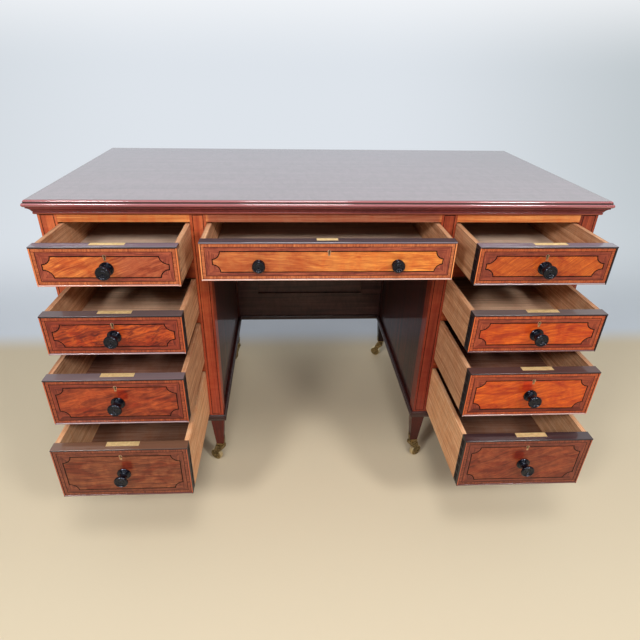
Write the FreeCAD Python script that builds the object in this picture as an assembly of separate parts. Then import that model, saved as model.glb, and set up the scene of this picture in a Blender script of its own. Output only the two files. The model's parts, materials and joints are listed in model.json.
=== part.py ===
"""A pedestal writing desk with nine drawers, on tapered legs with castors.

Lengths are in millimetres and angles in degrees. X runs along the desk, with the right-hand
pedestal at +X. The drawers open towards -Y. Z is up, and the castor wheels stand on z = 0.
The origin lies on the floor below the middle of the desk and its open drawers.
"""
import FreeCAD
import Part
import math
import os

Vector = FreeCAD.Vector

# Overall plan
top_width = 1262.0
top_depth = 612.0
top_overhang = 18.8
kneehole_width = 516.4

# Heights, from the floor up
castor_height = 70.6
leg_taper_height = 95.8
bottom_rail_height = 22.6
drawer_heights = [82.2, 89.8, 112.6, 133.0]
rail_heights = [48.8, 25.8, 28.0]
frieze_height = 18.2
cornice_height = 18.0
top_thickness = 15.0

# Posts and legs
outer_post = 39.5
inner_post = 35.0
outer_foot = 22.0
inner_foot = 20.0

# Moulded edge of the top: a quarter round over a round nosing
edge_round = 4.0
edge_set_back = 3.6
nosing_radius = 4.8

# Cornice moulding under the top: a fillet, a hollow and a small bead
cornice_projection = 14.0
cornice_fillet = 3.0
cornice_step_depth = 1.0
cornice_bead_height = 6.0
cornice_bead_projection = 5.4
cornice_foot = 3.8

# Base moulding round the pedestals
base_height = 14.5
base_projection = 7.2
base_square = 7.0
base_step = 1.6
base_top = 1.4

# Panels of the sides and back
panel_thickness = 10.0
panel_recess = 4.0
panel_tongue = 6.0
back_frame_thickness = 14.0
back_stile = 71.0
back_rail_height = 105.0
back_top_rail_height = 120.0
back_panel_thickness = 6.0
back_panel_recess = 6.0

# Rails, runners, guides, kickers and stops of the carcass
rail_depth = 22.0
tenon_length = 14.0
tenon_thickness = 8.0
tenon_shoulder = 4.0
runner_bearing_width = 14.0
runner_thickness = 20.0
guide_height = 12.0
kicker_thickness = 18.0
rear_rail_depth = 30.0
dust_board_thickness = 5.0
dust_board_groove = 5.0
centre_rail_height = 22.0
stop_width = 30.0
stop_length = 18.0
stop_height = 4.5
stop_inset = 60.0

# Drawers
drawer_side_gap = 0.8
drawer_bottom_gap = 0.3
drawer_top_gap = 1.3
drawer_length = 520.0
front_thickness = 22.0
side_thickness = 10.0
side_drop = 3.0
back_thickness = 10.0
back_drop = 9.0
bottom_thickness = 6.0
bottom_raise = 8.0
bottom_groove = 5.0
bead_width = 3.2
bead_depth = 12.0
bead_projection = 1.6
bead_round = 1.3

# Dovetails of the drawers
front_lap = 7.0
tail_pitch = 26.0
tail_gap = 7.0
tail_flare = 2.0

# How far each drawer stands open, from the top drawer down
left_opening_lengths = [146.5, 175.8, 226.2, 272.1]
right_opening_lengths = [150.0, 185.3, 223.5, 269.6]
centre_opening_length = 121.9

# Locks and keyholes
lock_width = 67.5
centre_lock_width = 43.0
lock_height = 34.0
lock_thickness = 9.0
selvedge_depth = 13.0
selvedge_thickness = 1.4
left_lock_shift = 4.0
right_lock_shift = 9.0
centre_lock_shift = -3.0
keyhole_drop = 19.5
keyhole_radius = 2.6
keyhole_slot_width = 2.8
keyhole_slot_length = 8.5
escutcheon_wall = 1.0
escutcheon_depth = 3.0

# Turned knobs: a round-edged rose, a collar, a hollow neck and a dished head with a ring on it
knob_length = 27.0
knob_rose_radius = 14.4
knob_rose_thickness = 3.6
knob_collar_radius = 11.4
knob_collar_thickness = 1.6
knob_neck_radius = 6.6
knob_neck_end_radius = 9.6
knob_head_radius = 14.4
knob_head_thickness = 5.6
knob_head_edge = 1.6
knob_rim_width = 1.6
knob_dish_depth = 1.6
knob_ring_radius = 6.4
knob_ring_width = 1.8
knob_ring_height = 0.7
knob_dimple_radius = 2.4
knob_dimple_depth = 0.9
knob_stem_radius = 5.0
knob_below_middle = 2.0
knob_keyhole_gap = 1.4

# The centre drawer's knobs are smaller and stand nearer to its front, clear of the sitter
centre_knob_length = 13.6
centre_knob_rose_radius = 12.6
centre_knob_collar_radius = 10.0
centre_knob_neck_radius = 7.8
centre_knob_head_radius = 13.4
centre_knob_spacing = 282.0
centre_knob_drop = 48.8

# Castors
wheel_radius = 17.0
wheel_width = 13.0
wheel_edge = 2.0
castor_trail = 17.0
axle_radius = 2.5
axle_gap = 0.05
axle_head_radius = 4.0
axle_head_thickness = 1.2
horn_arm = 3.0
horn_wheel_gap = 0.6
horn_eye_radius = 6.0
horn_crown_radius = 10.0
horn_crown_thickness = 11.0
horn_bulge = 3.0
swivel_gap = 0.3
pin_radius = 3.5
pin_gap = 0.05
pin_head_radius = 5.0
pin_head_thickness = 2.0
plate_thickness = 3.0
plate_margin = 1.0
boss_radius = 8.0
boss_height = 7.0
tongue_width = 12.0
tongue_height = 16.0
tongue_thickness = 2.0

# The way each castor trails at rest, in degrees from +X
castor_angles = {
    "front_left_outer": 115.0,
    "front_left_inner": 150.0,
    "front_right_inner": 28.0,
    "front_right_outer": 60.0,
    "rear_left_outer": 140.0,
    "rear_left_inner": 235.0,
    "rear_right_inner": 150.0,
    "rear_right_outer": 320.0,
}

# A cut runs past the surface it opens by this much
overrun = 2.0

# Derived places across the desk
body_width = top_width - 2 * top_overhang
body_depth = top_depth - 2 * top_overhang
body_half = body_width / 2
knee_half = kneehole_width / 2
bay_inner = knee_half + inner_post
bay_outer = body_half - outer_post
bay_centre = (bay_inner + bay_outer) / 2

# Derived places from front to back
deepest_opening = max(left_opening_lengths + right_opening_lengths + [centre_opening_length])
front_y = (deepest_opening + knob_length + top_overhang - top_depth) / 2
rear_y = front_y + body_depth
rail_back_y = front_y + rail_depth
knee_back_y = rear_y - back_frame_thickness
pedestal_back_y = rear_y - panel_recess - panel_thickness

# Derived heights
body_bottom = castor_height + leg_taper_height
opening_heights = [height + drawer_bottom_gap + drawer_top_gap for height in drawer_heights]
frieze_bottom = body_bottom + bottom_rail_height + sum(opening_heights) + sum(rail_heights)
cornice_bottom = frieze_bottom + frieze_height
top_bottom = cornice_bottom + cornice_height
desk_height = top_bottom + top_thickness

# The floor and the ceiling of each drawer's opening, from the top row down
opening_tops = []
opening_floors = []
level = frieze_bottom
for row, opening_height in enumerate(opening_heights):
    opening_tops.append(level)
    opening_floors.append(level - opening_height)
    if row < len(rail_heights):
        level = level - opening_height - rail_heights[row]


# General shapes

def box(x_range, y_range, z_range):
    """A block between two x, two y and two z places, given in either order."""
    x0, x1 = sorted(x_range)
    y0, y1 = sorted(y_range)
    z0, z1 = sorted(z_range)
    return Part.makeBox(x1 - x0, y1 - y0, z1 - z0, Vector(x0, y0, z0))


def outline(start, steps, place):
    """A closed face. A step of one point is a line, and a step of two is an arc through the first."""
    edges = []
    here = place(*start)
    for step in steps:
        there = place(*step[-1])
        if len(step) == 1:
            edges.append(Part.LineSegment(here, there).toShape())
        else:
            edges.append(Part.Arc(here, place(*step[0]), there).toShape())
        here = there
    return Part.Face(Part.Wire(edges))


def polygon(points):
    """A flat face through a closed list of points."""
    return Part.Face(Part.makePolygon(points + points[:1]))


def cut_all(shape, tools):
    """The shape with every tool taken out of it."""
    for tool in tools:
        shape = shape.cut(tool)
    return shape


def joined(shapes):
    """One solid out of several that touch."""
    whole = shapes[0].fuse(shapes[1:])
    return whole.removeSplitter()


def solids_of(shapes):
    """All solids of several shapes, as one compound."""
    solids = []
    for shape in shapes:
        solids.extend(shape.Solids)
    return Part.makeCompound(solids)


def mirrored(shape):
    """The same shape on the other side of the desk."""
    return shape.mirror(Vector(0, 0, 0), Vector(1, 0, 0))


# Mouldings are mitred lengths that run round a closed plan

def outward(first, second):
    """The unit vector square to a plan edge, pointing away from the desk."""
    along = (second - first).normalize()
    return Vector(along.y, -along.x, 0)


def mitred_lengths(corners, start, steps, projection, z_range):
    """One length of moulding on each edge of a plan that runs anticlockwise, seen from above."""
    lengths = []
    count = len(corners)
    for index in range(count):
        first = corners[index]
        second = corners[(index + 1) % count]
        out = outward(first, second)
        out_before = outward(corners[index - 1], first)
        out_after = outward(second, corners[(index + 2) % count])
        along = (second - first).normalize()
        origin = first - along * projection

        def place(u, z, origin=origin, out=out):
            return origin + out * u + Vector(0, 0, z)

        run = (second - first) + along * (2 * projection)
        bar = outline(start, steps, place).extrude(run)
        first_mitre = first + (out_before + out) * projection
        second_mitre = second + (out + out_after) * projection
        plan = polygon([point + Vector(0, 0, z_range[0] - overrun)
                        for point in (first, second, second_mitre, first_mitre)])
        prism = plan.extrude(Vector(0, 0, z_range[1] - z_range[0] + 2 * overrun))
        lengths.append(bar.common(prism))
    return lengths


def body_plan():
    """The four corners of the body, anticlockwise from the front left."""
    return [
        Vector(-body_half, front_y, 0),
        Vector(body_half, front_y, 0),
        Vector(body_half, rear_y, 0),
        Vector(-body_half, rear_y, 0),
    ]


def kneehole_plan():
    """The body's plan with the kneehole let in at the front."""
    return [
        Vector(-body_half, front_y, 0),
        Vector(-knee_half, front_y, 0),
        Vector(-knee_half, knee_back_y, 0),
        Vector(knee_half, knee_back_y, 0),
        Vector(knee_half, front_y, 0),
        Vector(body_half, front_y, 0),
        Vector(body_half, rear_y, 0),
        Vector(-body_half, rear_y, 0),
    ]


# The top and its cornice

def make_top():
    """A slab whose edge is a quarter round above a projecting round nosing."""
    nosing_middle = top_bottom + nosing_radius
    nosing_centre = top_overhang - nosing_radius
    round_outer = top_overhang - edge_set_back
    round_inner = round_outer - edge_round
    reach = round_outer - nosing_centre
    quirk_bottom = nosing_middle + math.sqrt(nosing_radius ** 2 - reach ** 2)
    slope = math.sqrt(0.5)
    start = (0, top_bottom)
    steps = [
        [(nosing_centre, top_bottom)],
        [(top_overhang, nosing_middle), (round_outer, quirk_bottom)],
        [(round_outer, desk_height - edge_round)],
        [(round_inner + edge_round * slope, desk_height - edge_round + edge_round * slope),
         (round_inner, desk_height)],
        [(0, desk_height)],
        [(0, top_bottom)],
    ]
    edges = mitred_lengths(body_plan(), start, steps, top_overhang, (top_bottom, desk_height))
    core = box((-body_half, body_half), (front_y, rear_y), (top_bottom, desk_height))
    return joined([core] + edges)


def make_cornice():
    """Four mitred lengths: a square fillet, a hollow, and a bead at the foot."""
    fillet_bottom = top_bottom - cornice_fillet
    hollow_top = cornice_projection - cornice_step_depth
    bead_top = cornice_bottom + cornice_bead_height
    hollow_middle_u = (hollow_top + cornice_bead_projection) / 2 - cornice_step_depth
    hollow_middle_z = (fillet_bottom + bead_top) / 2 + cornice_step_depth / 2
    bead_middle = (cornice_bottom + bead_top) / 2
    start = (0, cornice_bottom)
    steps = [
        [(cornice_foot, cornice_bottom)],
        [(cornice_bead_projection, bead_middle), (cornice_foot, bead_top)],
        [(cornice_bead_projection, bead_top)],
        [(hollow_middle_u, hollow_middle_z), (hollow_top, fillet_bottom)],
        [(cornice_projection, fillet_bottom)],
        [(cornice_projection, top_bottom)],
        [(0, top_bottom)],
        [(0, cornice_bottom)],
    ]
    height = (cornice_bottom, top_bottom)
    return mitred_lengths(body_plan(), start, steps, cornice_projection, height)


def make_base_moulding():
    """Eight mitred lengths round both pedestals and across the kneehole's back."""
    square_top = body_bottom + base_square
    base_top_z = body_bottom + base_height
    curve_start = base_projection - base_step
    curve_middle_u = (curve_start + base_top) / 2 + base_step / 2
    curve_middle_z = (square_top + base_top_z) / 2 + base_step / 2
    start = (0, body_bottom)
    steps = [
        [(base_projection, body_bottom)],
        [(base_projection, square_top)],
        [(curve_start, square_top)],
        [(curve_middle_u, curve_middle_z), (base_top, base_top_z)],
        [(0, base_top_z)],
        [(0, body_bottom)],
    ]
    height = (body_bottom, base_top_z)
    return mitred_lengths(kneehole_plan(), start, steps, base_projection, height)


# Posts, which run down as tapered legs

def make_post(x_range, y_range, foot):
    """A square stick, straight up to the top and tapered on all four sides below the body."""
    stick = box(x_range, y_range, (body_bottom, top_bottom))
    x_middle = sum(x_range) / 2
    y_middle = sum(y_range) / 2
    x0, x1 = sorted(x_range)
    y0, y1 = sorted(y_range)
    shoulder = [
        Vector(x0, y0, body_bottom),
        Vector(x1, y0, body_bottom),
        Vector(x1, y1, body_bottom),
        Vector(x0, y1, body_bottom),
    ]
    half = foot / 2
    sole = [
        Vector(x_middle - half, y_middle - half, castor_height),
        Vector(x_middle + half, y_middle - half, castor_height),
        Vector(x_middle + half, y_middle + half, castor_height),
        Vector(x_middle - half, y_middle + half, castor_height),
    ]
    wires = [Part.makePolygon(points + points[:1]) for points in (sole, shoulder)]
    taper = Part.makeLoft(wires, True, True)
    return joined([stick, taper])


def post_places():
    """Each post's name with its x range, y range, foot and the side that faces the middle."""
    outer_x = (bay_outer, body_half)
    inner_x = (knee_half, bay_inner)
    places = {}
    for end, face, way in (("front", front_y, 1), ("rear", rear_y, -1)):
        for side, sign in (("left", -1), ("right", 1)):
            for name, x_range, size, foot in (("outer", outer_x, outer_post, outer_foot),
                                              ("inner", inner_x, inner_post, inner_foot)):
                x_sided = tuple(sorted(sign * x for x in x_range))
                y_range = tuple(sorted((face, face + way * size)))
                places[f"{end}_{side}_{name}"] = (x_sided, y_range, foot, -sign)
    return places


def make_posts():
    """The eight posts before the rails and panels are let into them."""
    return [make_post(x_range, y_range, foot) for x_range, y_range, foot, _ in post_places().values()]


# Side panels and backs

def side_frame(face_x, inward, post_size):
    """A panel in the grooves of two posts, with a flush rail above and below it."""
    outside = face_x + inward * panel_recess
    inside = outside + inward * panel_thickness
    y_front = front_y + post_size
    y_rear = rear_y - post_size
    lower = (body_bottom, body_bottom + base_height)
    upper = (cornice_bottom, top_bottom)
    panel = box((outside, inside), (y_front - panel_tongue, y_rear + panel_tongue), (lower[1], upper[0]))
    rails = [box((face_x, inside), (y_front, y_rear), height) for height in (lower, upper)]
    return [panel] + rails


def make_side_panels():
    """Both pedestals' outer sides and kneehole sides."""
    right = side_frame(body_half, -1, outer_post) + side_frame(knee_half, 1, inner_post)
    return right + [mirrored(piece) for piece in right]


def pedestal_back():
    """The right-hand pedestal's back, a panel with a flush rail above and below it."""
    outside = rear_y - panel_recess
    lower = (body_bottom, body_bottom + base_height)
    upper = (cornice_bottom, top_bottom)
    x_panel = (bay_inner - panel_tongue, bay_outer + panel_tongue)
    panel = box(x_panel, (pedestal_back_y, outside), (lower[1], upper[0]))
    rails = [box((bay_inner, bay_outer), (pedestal_back_y, rear_y), height) for height in (lower, upper)]
    return [panel] + rails


def kneehole_back():
    """A frame of two stiles and two rails round a thin recessed panel."""
    y_frame = (knee_back_y, rear_y)
    stile_x = knee_half - back_stile
    lower_top = body_bottom + back_rail_height
    upper_bottom = top_bottom - back_top_rail_height
    z_frame = (body_bottom, top_bottom)
    stiles = [box((sign * stile_x, sign * knee_half), y_frame, z_frame) for sign in (-1, 1)]
    lower = box((-stile_x, stile_x), y_frame, (body_bottom, lower_top))
    upper = box((-stile_x, stile_x), y_frame, (upper_bottom, top_bottom))
    panel_y = knee_back_y + back_panel_recess
    panel = box((-stile_x - panel_tongue, stile_x + panel_tongue),
                (panel_y, panel_y + back_panel_thickness),
                (lower_top - panel_tongue, upper_bottom + panel_tongue))
    frame = [piece.cut(panel) for piece in stiles + [lower, upper]]
    return frame + [panel]


def make_back_panels():
    """The backs of both pedestals and of the kneehole."""
    right = pedestal_back()
    return right + [mirrored(piece) for piece in right] + kneehole_back()


# Rails, runners, kickers, dust boards and stops

def tenoned_rail(x_range, z_range):
    """A front rail with a tenon at each end, set back inside the post."""
    body = box(x_range, (front_y, rail_back_y), z_range)
    tenon_y = front_y + (rail_depth - tenon_thickness) / 2
    tenon = box((x_range[0] - tenon_length, x_range[1] + tenon_length),
                (tenon_y, tenon_y + tenon_thickness),
                (z_range[0] + tenon_shoulder, z_range[1] - tenon_shoulder))
    return joined([body, tenon])


def runner(wall_x, bearing_x, guide_x, floor, thickness, y_range):
    """An L-shaped strip: the drawer's side slides on it, and its upright guides the drawer."""
    strip = box((wall_x, bearing_x), y_range, (floor - thickness, floor))
    guide = box((wall_x, guide_x), y_range, (floor, floor + guide_height))
    return joined([strip, guide])


def bay_frame(floor, rail_height, thickness):
    """Rail, two runners, a rear rail and a dust board under one row of the right-hand pedestal."""
    inner_wall = knee_half + panel_recess + panel_thickness
    outer_wall = body_half - panel_recess - panel_thickness
    y_rear_rail = pedestal_back_y - rear_rail_depth
    y_run = (rail_back_y, pedestal_back_y)
    rail = tenoned_rail((bay_inner, bay_outer), (floor - rail_height, floor))
    inner = runner(inner_wall, bay_inner + runner_bearing_width, bay_inner, floor, thickness, y_run)
    outer = runner(outer_wall, bay_outer - runner_bearing_width, bay_outer, floor, thickness, y_run)
    x_between = (bay_inner + runner_bearing_width, bay_outer - runner_bearing_width)
    rear = box(x_between, (y_rear_rail, pedestal_back_y), (floor - thickness, floor))
    board_z = floor - thickness / 2
    board = box((x_between[0] - dust_board_groove, x_between[1] + dust_board_groove),
                (rail_back_y, y_rear_rail + dust_board_groove),
                (board_z - dust_board_thickness / 2, board_z + dust_board_thickness / 2))
    return [rail] + [piece.cut(board) for piece in (inner, outer, rear)] + [board]


def bay_kickers(z_range):
    """Two strips that keep a drawer level from above, in the right-hand pedestal."""
    inner_wall = knee_half + panel_recess + panel_thickness
    outer_wall = body_half - panel_recess - panel_thickness
    y_run = (rail_back_y, pedestal_back_y)
    return [
        box((inner_wall, bay_inner + runner_bearing_width), y_run, z_range),
        box((outer_wall, bay_outer - runner_bearing_width), y_run, z_range),
    ]


def stops(x_inner, x_outer, floor):
    """Two blocks glued on a rail, which stop the drawer's front flush with the posts."""
    y0 = front_y + front_thickness + drawer_bottom_gap
    y_range = (y0, y0 + stop_length)
    z_range = (floor, floor + stop_height)
    places = (x_inner + stop_inset, x_outer - stop_inset)
    return [box((x - stop_width / 2, x + stop_width / 2), y_range, z_range) for x in places]


def centre_fittings():
    """The rails, runners and kickers of the wide drawer over the kneehole."""
    wall = knee_half + panel_recess
    floor = opening_floors[0]
    y_run = (rail_back_y, knee_back_y)
    x_span = (-knee_half, knee_half)
    pieces = [
        tenoned_rail(x_span, (frieze_bottom, top_bottom)),
        tenoned_rail(x_span, (floor - centre_rail_height, floor)),
    ]
    strip = runner(wall, knee_half - runner_bearing_width, knee_half, floor, runner_thickness, y_run)
    kicker = box((wall, knee_half - runner_bearing_width), y_run, (frieze_bottom, cornice_bottom))
    pieces += [strip, kicker, mirrored(strip), mirrored(kicker)]
    pieces += stops(x_span[0], x_span[1], floor)
    return pieces


def make_drawer_frames():
    """Every rail, runner, guide, kicker, dust board and stop inside the carcass."""
    right = [tenoned_rail((bay_inner, bay_outer), (frieze_bottom, top_bottom))]
    right += bay_kickers((frieze_bottom, cornice_bottom))
    right += bay_kickers((opening_tops[1], opening_tops[1] + kicker_thickness))
    lowest = len(opening_floors) - 1
    for row, floor in enumerate(opening_floors):
        rail_height = bottom_rail_height if row == lowest else rail_heights[row]
        thickness = min(rail_height, runner_thickness) if row == 0 else rail_height
        right += bay_frame(floor, rail_height, thickness)
        right += stops(bay_inner, bay_outer, floor)
    return right + [mirrored(piece) for piece in right] + centre_fittings()


# Drawers

def keyhole_prism(x_middle, y_range, top_z, grow):
    """A keyhole shape, round above a slot, carried back from the drawer's face."""
    radius = keyhole_radius + grow
    half_slot = keyhole_slot_width / 2 + grow
    depth = y_range[1] - y_range[0]
    centre = Vector(x_middle, y_range[0], top_z - keyhole_drop)
    bore = Part.makeCylinder(radius, depth, centre, Vector(0, 1, 0))
    slot = box((x_middle - half_slot, x_middle + half_slot), y_range,
               (centre.z - keyhole_slot_length - grow, centre.z))
    return joined([bore, slot])


def knob(x_middle, face_y, z_middle, sizes):
    """A turned knob with a stem through the front, drawn as half its section and revolved."""
    length, rose_radius, collar_radius, neck_radius, head_radius = sizes
    rose_edge = rose_radius - knob_rose_thickness / 2
    collar_out = knob_rose_thickness + knob_collar_thickness
    neck_start = collar_radius - knob_collar_thickness
    head_in = length - knob_head_thickness
    neck_out = (collar_out + head_in) / 2
    head_middle = length - knob_head_thickness / 2
    head_edge = head_radius - knob_head_edge
    rim_inner = head_edge - knob_rim_width
    floor_out = length - knob_dish_depth
    ring_inner = knob_ring_radius - knob_ring_width
    ring_middle = knob_ring_radius - knob_ring_width / 2
    start = (0, -front_thickness)
    steps = [
        [(knob_stem_radius, -front_thickness)],
        [(knob_stem_radius, 0)],
        [(rose_edge, 0)],
        [(rose_radius, knob_rose_thickness / 2), (rose_edge, knob_rose_thickness)],
        [(collar_radius, knob_rose_thickness)],
        [(collar_radius, collar_out)],
        [(neck_start, collar_out)],
        [(neck_radius, neck_out), (knob_neck_end_radius, head_in)],
        [(head_edge, head_in)],
        [(head_radius, head_middle), (head_edge, length)],
        [(rim_inner, length)],
        [(knob_ring_radius, floor_out)],
        [(ring_middle, floor_out + knob_ring_height), (ring_inner, floor_out)],
        [(knob_dimple_radius, floor_out)],
        [(0, floor_out - knob_dimple_depth)],
        [start],
    ]

    def place(radius, out):
        return Vector(x_middle + radius, face_y - out, z_middle)

    return outline(start, steps, place).revolve(place(0, 0), Vector(0, 1, 0), 360)


def bead(x_range, y_range, z_range, front_edges_along):
    """A cockbead strip with its two proud front edges rounded over."""
    strip = box(x_range, y_range, z_range)
    proud = [edge for edge in strip.Edges
             if abs(edge.CenterOfMass.y - y_range[0]) < bead_round
             and abs(edge.tangentAt(edge.FirstParameter).dot(front_edges_along)) > 0.5]
    return strip.makeFillet(bead_round, proud)


def front_pieces(x_range, face_y, z_range):
    """The front board and the four cockbeads let into its edges."""
    x0, x1 = x_range
    z0, z1 = z_range
    back_y = face_y + front_thickness
    y_proud = face_y - bead_projection
    y_bead = face_y + bead_depth
    top_bead = bead(x_range, (y_proud, back_y), (z1 - bead_width, z1), Vector(1, 0, 0))
    side_z = (z0, z1 - bead_width)
    bottom_x = (x0 + bead_width, x1 - bead_width)
    beads = [
        top_bead,
        bead((x0, x0 + bead_width), (y_proud, y_bead), side_z, Vector(0, 0, 1)),
        bead((x1 - bead_width, x1), (y_proud, y_bead), side_z, Vector(0, 0, 1)),
        bead(bottom_x, (y_proud, y_bead), (z0, z0 + bead_width), Vector(1, 0, 0)),
    ]
    board = box(x_range, (face_y, back_y), z_range)
    return cut_all(board, beads), beads


def tail_levels(z_range):
    """The lower and upper edge of each dovetail on a board of this height."""
    z0, z1 = z_range
    count = max(2, round((z1 - z0) / tail_pitch))
    pitch = (z1 - z0 - tail_gap) / count
    return [(z0 + tail_gap + index * pitch, z0 + (index + 1) * pitch) for index in range(count)]


def drawer_side(x_range, root_front_y, root_rear_y, tip_front_y, tip_rear_y, z_range):
    """A side board with dovetails at both ends, drawn from the side and given its thickness."""
    x0, x1 = x_range
    z0, z1 = z_range
    pieces = [box(x_range, (root_front_y, root_rear_y), z_range)]
    for low, high in tail_levels(z_range):
        for root, tip in ((root_front_y, tip_front_y), (root_rear_y, tip_rear_y)):
            tail = polygon([
                Vector(x0, root, low),
                Vector(x0, tip, low - tail_flare),
                Vector(x0, tip, high + tail_flare),
                Vector(x0, root, high),
            ])
            pieces.append(tail.extrude(Vector(x1 - x0, 0, 0)))
    return joined(pieces)


def lock(x_middle, face_y, top_z, width, shift):
    """A lock case let into the back of the front, with its selvedge flush in the top edge."""
    back_y = face_y + front_thickness
    x_range = (x_middle + shift - width / 2, x_middle + shift + width / 2)
    case = box(x_range, (back_y - lock_thickness, back_y), (top_z - lock_height, top_z))
    selvedge = box(x_range, (back_y - selvedge_depth, back_y), (top_z - selvedge_thickness, top_z))
    return joined([case, selvedge])


def knob_drop(row):
    """How far a knob's middle lies below its drawer's top edge, clear of the keyhole."""
    keyhole_foot = keyhole_drop + keyhole_slot_length + escutcheon_wall
    lowest_clear = keyhole_foot + knob_keyhole_gap + knob_rose_radius
    return max(drawer_heights[row] / 2 + knob_below_middle, lowest_clear)


def make_drawer(x_range, opening, row, knob_places, knob_sizes, lock_width_here, lock_shift):
    """All the pieces of one drawer, standing open by this much: front, box, knobs and lock."""
    x0, x1 = x_range
    face_y = front_y - opening
    back_y = face_y + front_thickness
    rear = face_y + drawer_length
    z0 = opening_floors[row] + drawer_bottom_gap
    z1 = opening_tops[row] - drawer_top_gap
    side_z = (z0, z1 - side_drop)
    x_middle = (x0 + x1) / 2

    board, beads = front_pieces(x_range, face_y, (z0, z1))
    bottom_z = z0 + bottom_raise
    inner = (x0 + side_thickness, x1 - side_thickness)
    bottom = box((inner[0] - bottom_groove, inner[1] + bottom_groove),
                 (back_y - bottom_groove, rear), (bottom_z, bottom_z + bottom_thickness))
    sides = []
    for side_x in ((x0, inner[0]), (inner[1], x1)):
        side = drawer_side(side_x, back_y, rear - back_thickness,
                           face_y + front_lap, rear, side_z)
        sides.append(side)
    back = box(x_range, (rear - back_thickness, rear),
               (bottom_z + bottom_thickness, z1 - side_drop - back_drop))
    back = cut_all(back, sides)
    board = cut_all(board, sides)
    beads = [cut_all(piece, sides) for piece in beads]
    sides = [side.cut(bottom) for side in sides]
    board = board.cut(bottom)

    lock_body = lock(x_middle, face_y, z1, lock_width_here, lock_shift)
    y_liner = (face_y, face_y + escutcheon_depth)
    y_through = (face_y - overrun, back_y + overrun)
    liner_outside = keyhole_prism(x_middle, y_liner, z1, escutcheon_wall)
    key_way = keyhole_prism(x_middle, y_through, z1, 0)
    board = cut_all(board, [lock_body, liner_outside, key_way])
    beads = [piece.cut(lock_body) for piece in beads]
    liner = liner_outside.cut(key_way)
    lock_body = lock_body.cut(key_way)

    knobs = [knob(x, face_y, z1 - drop, knob_sizes) for x, drop in knob_places]
    board = cut_all(board, knobs)
    return {
        "front": [board] + beads,
        "box": sides + [back, bottom],
        "knobs": knobs,
        "lock": [lock_body, liner],
    }


def add_drawers(nodes):
    """Four drawers in each pedestal and the wide one between them."""
    x_bay = (bay_inner + drawer_side_gap, bay_outer - drawer_side_gap)
    x_centre = (-knee_half + drawer_side_gap, knee_half - drawer_side_gap)
    knob_sizes = (knob_length, knob_rose_radius, knob_collar_radius, knob_neck_radius, knob_head_radius)
    drawers = {}
    for row, opening in enumerate(left_opening_lengths):
        x_left = (-x_bay[1], -x_bay[0])
        drawers[f"left_drawer_{row + 1}"] = make_drawer(
            x_left, opening, row, [(-bay_centre, knob_drop(row))], knob_sizes, lock_width, left_lock_shift)
    for row, opening in enumerate(right_opening_lengths):
        drawers[f"right_drawer_{row + 1}"] = make_drawer(
            x_bay, opening, row, [(bay_centre, knob_drop(row))], knob_sizes, lock_width, right_lock_shift)
    half_spacing = centre_knob_spacing / 2
    centre_knobs = [(-half_spacing, centre_knob_drop), (half_spacing, centre_knob_drop)]
    centre_knob_sizes = (
        centre_knob_length, centre_knob_rose_radius, centre_knob_collar_radius, centre_knob_neck_radius,
        centre_knob_head_radius)
    drawers["centre_drawer"] = make_drawer(
        x_centre, centre_opening_length, 0, centre_knobs, centre_knob_sizes, centre_lock_width,
        centre_lock_shift)
    for name, pieces in drawers.items():
        for piece, shapes in pieces.items():
            nodes[f"{name}_{piece}"] = shapes


# Castors

def castor_plate(x_range, y_range, foot, inward):
    """A plate under the leg with its boss, swivel pin and rivet head, and a tongue up the leg."""
    x_middle = sum(x_range) / 2
    y_middle = sum(y_range) / 2
    half = foot / 2 + plate_margin
    plate_bottom = castor_height - plate_thickness
    boss_bottom = plate_bottom - boss_height
    crown_top = boss_bottom - swivel_gap
    crown_bottom = crown_top - horn_crown_thickness
    head_top = crown_bottom - swivel_gap
    head_bottom = head_top - pin_head_thickness
    up = Vector(0, 0, 1)
    plate = box((x_middle - half, x_middle + half), (y_middle - half, y_middle + half),
                (plate_bottom, castor_height))
    boss = Part.makeCylinder(boss_radius, boss_height, Vector(x_middle, y_middle, boss_bottom), up)
    below = Vector(x_middle, y_middle, head_bottom)
    pin = Part.makeCylinder(pin_radius, boss_bottom - head_bottom, below, up)
    head = Part.makeCylinder(pin_head_radius, pin_head_thickness, below, up)
    slope = ((x_range[1] - x_range[0]) - foot) / 2 / leg_taper_height
    face_x = x_middle + inward * foot / 2
    lean = inward * slope * tongue_height
    width = Vector(0, tongue_width, 0)
    start = Vector(face_x, y_middle - tongue_width / 2, castor_height)
    thick = Vector(inward * tongue_thickness, 0, 0)
    rise = Vector(lean, 0, tongue_height)
    drop = Vector(0, 0, -plate_thickness)
    tongue = polygon([start, start + rise, start + rise + thick, start + thick]).extrude(width)
    lug = polygon([start, start + thick, start + thick + drop, start + drop]).extrude(width)
    return joined([plate, boss, pin, head, tongue, lug])


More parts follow.
